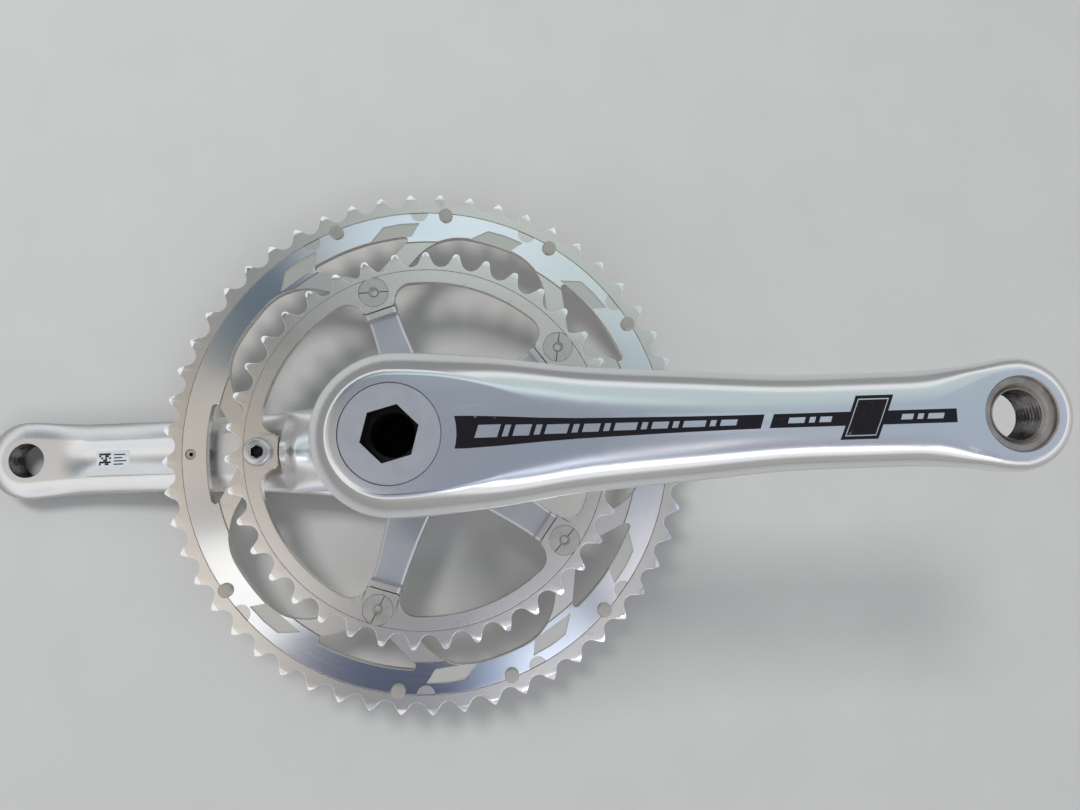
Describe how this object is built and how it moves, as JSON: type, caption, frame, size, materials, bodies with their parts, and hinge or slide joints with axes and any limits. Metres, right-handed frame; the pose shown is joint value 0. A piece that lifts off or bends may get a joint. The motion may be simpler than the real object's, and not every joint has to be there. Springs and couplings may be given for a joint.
{
  "type": "bicycle crankset",
  "caption": "Double road-bicycle crankset: two alloy crank arms on a hollow steel spindle, five-arm spider, outer and inner chainrings, drive-side bearing.",
  "frame": {"origin": "middle of the bottom bracket, on the spindle's axis, halfway between the two pedal faces", "axes": "+Z along the spindle from the drive side to the left side, +X along the left crank arm"},
  "size_m": [0.3731, 0.2169, 0.1456],
  "materials": {
    "polished_alloy": "polished and clear-coated, with fine handling scratches",
    "ring_alloy": "silver anodised, turned face",
    "steel": "plated, slightly dull",
    "dark_steel": "dark plated",
    "ball_steel": "ground and polished",
    "nylon": "moulded",
    "rubber": "matt black"
  },
  "bodies": {
    "bearing_ring": {"bearing_outer_race": "steel", "bearing_seal_inner": "rubber", "bearing_seal_outer": "rubber"},
    "ball_set": {"bearing_cage": "nylon", "bearing_ball_1": "ball_steel", "bearing_ball_2": "ball_steel", "bearing_ball_3": "ball_steel", "bearing_ball_4": "ball_steel", "bearing_ball_5": "ball_steel", "bearing_ball_6": "ball_steel", "bearing_ball_7": "ball_steel", "bearing_ball_8": "ball_steel", "bearing_ball_9": "ball_steel", "bearing_ball_10": "ball_steel", "bearing_ball_11": "ball_steel", "bearing_ball_12": "ball_steel", "bearing_ball_13": "ball_steel", "bearing_ball_14": "ball_steel"},
    "crankset": {"right_crank_arm": "polished_alloy", "left_crank_arm": "polished_alloy", "big_chainring": "ring_alloy", "small_chainring": "ring_alloy", "chainring_nut_1": "steel", "chainring_nut_2": "steel", "chainring_nut_3": "steel", "chainring_nut_4": "steel", "chainring_bolt_1": "steel", "chainring_bolt_2": "steel", "chainring_bolt_3": "steel", "chainring_bolt_4": "steel", "shift_pin_1": "steel", "shift_pin_2": "steel", "shift_pin_3": "steel", "shift_pin_4": "steel", "shift_pin_5": "steel", "shift_pin_6": "steel", "shift_pin_7": "steel", "shift_pin_8": "steel", "arm_bolt": "steel", "arm_bolt_spacer": "steel", "spindle": "steel", "bearing_inner_race": "steel", "wave_washer": "steel", "fixing_bolt_washer": "steel", "left_fixing_bolt": "dark_steel", "bearing_circlip": "dark_steel", "chain_drop_pin": "dark_steel", "drive_o_ring": "rubber", "left_dust_seal": "rubber"}
  },
  "joints": [
    {"name": "crank_spin", "type": "hinge", "parent": "bearing_ring", "child": "crankset", "pos_m": [0, 0, 0], "axis": [0, 0, 1], "continuous": true},
    {"name": "ball_set_spin", "type": "hinge", "parent": "bearing_ring", "child": "ball_set", "pos_m": [0, 0, 0], "axis": [0, 0, 1], "continuous": true}
  ],
  "couplings": [
    {"joint": "ball_set_spin", "follows": "crank_spin", "ratio": 0.4425}
  ]
}
